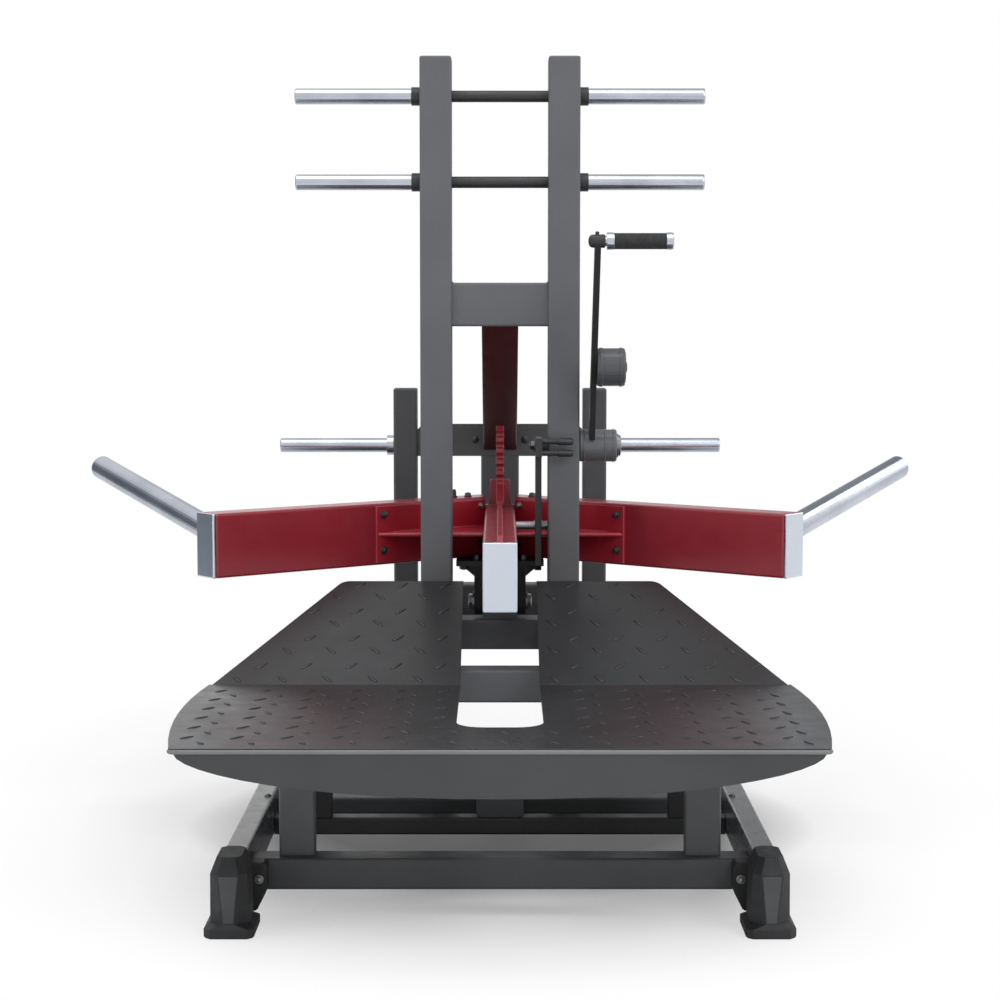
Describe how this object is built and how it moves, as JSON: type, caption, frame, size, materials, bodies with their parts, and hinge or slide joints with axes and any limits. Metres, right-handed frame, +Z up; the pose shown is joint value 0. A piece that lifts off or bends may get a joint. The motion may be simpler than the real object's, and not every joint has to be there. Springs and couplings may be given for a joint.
{
  "type": "sumo squat machine",
  "caption": "Plate loaded sumo squat machine with a slotted tread deck, a hinged central lever with splayed loading horns, plate storage posts and a release handle.",
  "frame": {"origin": "on the floor under the middle of the whole machine", "axes": "+Z up, -Y towards the front edge of the deck, +X towards the side with the release handle"},
  "size_m": [1.6712, 1.48, 1.4945],
  "materials": {
    "grey_paint": "fine textured powder coat",
    "deck_plate": "tread pattern, satin",
    "red_paint": "metallic gloss",
    "dark_red_paint": "satin",
    "chrome": "polished",
    "silver_cap": "satin silver",
    "bright_steel": "turned",
    "black_paint": "satin",
    "black_rubber_foot": "moulded, matte",
    "grip_rubber": "fine ribbed"
  },
  "bodies": {
    "frame": {"crossbeam": "grey_paint", "deck_apron": "grey_paint", "deck_cross_beam": "grey_paint", "deck_front_plate": "deck_plate", "front_beam": "grey_paint", "front_leg_left": "grey_paint", "front_leg_right": "grey_paint", "middle_beam": "grey_paint", "middle_leg_left": "grey_paint", "middle_leg_right": "grey_paint", "pivot_beam": "grey_paint", "pivot_shaft": "bright_steel", "ramp_plate_left": "deck_plate", "ramp_plate_right": "deck_plate", "rear_beam": "grey_paint", "rear_cross_beam": "grey_paint", "rear_cross_plate": "grey_paint", "rear_peg_left": "chrome", "rear_peg_right": "chrome", "rear_upright_left": "grey_paint", "rear_upright_right": "grey_paint", "shoe_front_left": "black_rubber_foot", "shoe_front_right": "black_rubber_foot", "shoe_rear_left": "black_rubber_foot", "shoe_rear_right": "black_rubber_foot", "side_beam_left": "grey_paint", "side_beam_right": "grey_paint", "storage_bar_lower": "black_paint", "storage_bar_upper": "black_paint", "storage_sleeve_lower_left": "chrome", "storage_sleeve_lower_right": "chrome", "storage_sleeve_upper_left": "chrome", "storage_sleeve_upper_right": "chrome", "strut": "dark_red_paint", "upright_beam": "grey_paint", "upright_left": "grey_paint", "upright_right": "grey_paint"},
    "lever": {"catch_pin": "bright_steel", "central_arm": "red_paint", "central_arm_cap": "silver_cap", "horn_collar_left": "black_paint", "horn_collar_right": "black_paint", "horn_left": "chrome", "horn_right": "chrome", "hub_bracket_left": "red_paint", "hub_bracket_right": "red_paint", "pivot_lug_left": "black_paint", "pivot_lug_right": "black_paint", "rack_plate": "red_paint", "side_arm_cap_left": "silver_cap", "side_arm_cap_right": "silver_cap", "side_arm_left": "red_paint", "side_arm_right": "red_paint"},
    "release": {"counterweight": "black_paint", "handle_bar": "black_paint", "handle_grip": "grip_rubber", "handle_rod": "chrome", "hook_toe": "black_paint", "release_hook": "black_paint", "release_hub": "black_paint"}
  },
  "joints": [
    {"name": "lever_hinge", "type": "hinge", "parent": "frame", "child": "lever", "pos_m": [0, 0.42, 0.43], "axis": [-1, 0, 0], "range_deg": [0, 22]},
    {"name": "release_hinge", "type": "hinge", "parent": "frame", "child": "release", "pos_m": [0, 0.23, 0.757], "axis": [-1, 0, 0], "range_deg": [0, 30]}
  ]
}
